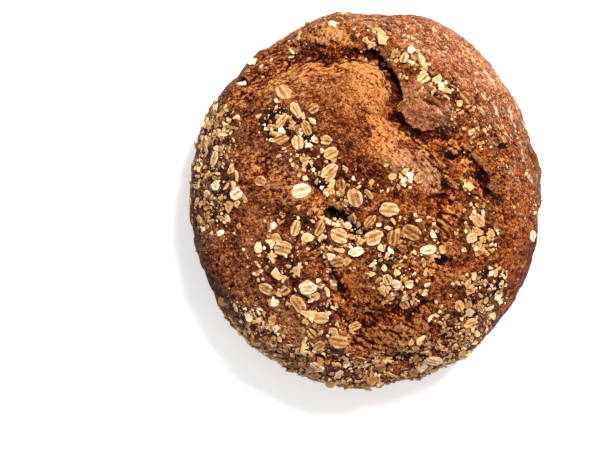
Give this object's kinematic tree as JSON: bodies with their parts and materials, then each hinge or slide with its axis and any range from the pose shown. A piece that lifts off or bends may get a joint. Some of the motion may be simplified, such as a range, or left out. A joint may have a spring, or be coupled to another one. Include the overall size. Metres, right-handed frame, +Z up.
{
  "type": "sourdough loaf",
  "caption": "Round hearth-baked loaf with a domed, burst and torn dark crust, a flat base, and rolled oat flakes set into the top of the crust.",
  "frame": {"origin": "middle of the loaf's box at the level of its flat base, where it rests on the table", "axes": "+Z up out of the base, +X to the right and +Y towards the top of the loaf when it is looked down on with the long burst at the upper left"},
  "size_m": [0.19, 0.203, 0.075],
  "materials": {
    "crust": null,
    "oat_flake": "dry toasted rolled oats, matt, paler at the rims"
  },
  "bodies": {
    "root": {"loaf": "crust", "oat_flake_01": "oat_flake", "oat_flake_02": "oat_flake", "oat_flake_03": "oat_flake", "oat_flake_04": "oat_flake", "oat_flake_05": "oat_flake", "oat_flake_06": "oat_flake", "oat_flake_07": "oat_flake", "oat_flake_08": "oat_flake", "oat_flake_09": "oat_flake", "oat_flake_10": "oat_flake", "oat_flake_11": "oat_flake", "oat_flake_12": "oat_flake", "oat_flake_13": "oat_flake", "oat_flake_14": "oat_flake", "oat_flake_15": "oat_flake", "oat_flake_16": "oat_flake", "oat_flake_17": "oat_flake", "oat_flake_18": "oat_flake", "oat_flake_19": "oat_flake", "oat_flake_20": "oat_flake", "oat_flake_21": "oat_flake", "oat_flake_22": "oat_flake", "oat_flake_23": "oat_flake", "oat_flake_24": "oat_flake", "oat_flake_25": "oat_flake", "oat_flake_26": "oat_flake", "oat_flake_27": "oat_flake", "oat_flake_28": "oat_flake", "oat_flake_29": "oat_flake", "oat_flake_30": "oat_flake", "oat_flake_31": "oat_flake", "oat_flake_32": "oat_flake", "oat_flake_33": "oat_flake", "oat_flake_34": "oat_flake", "oat_flake_35": "oat_flake", "oat_flake_36": "oat_flake", "oat_flake_37": "oat_flake", "oat_flake_38": "oat_flake", "oat_flake_39": "oat_flake", "oat_flake_40": "oat_flake", "oat_flake_41": "oat_flake", "oat_flake_42": "oat_flake", "oat_flake_43": "oat_flake", "oat_flake_44": "oat_flake", "oat_flake_45": "oat_flake", "oat_flake_46": "oat_flake", "oat_flake_47": "oat_flake", "oat_flake_48": "oat_flake", "oat_flake_49": "oat_flake", "oat_flake_50": "oat_flake", "oat_flake_51": "oat_flake", "oat_flake_52": "oat_flake"}
  },
  "joints": []
}
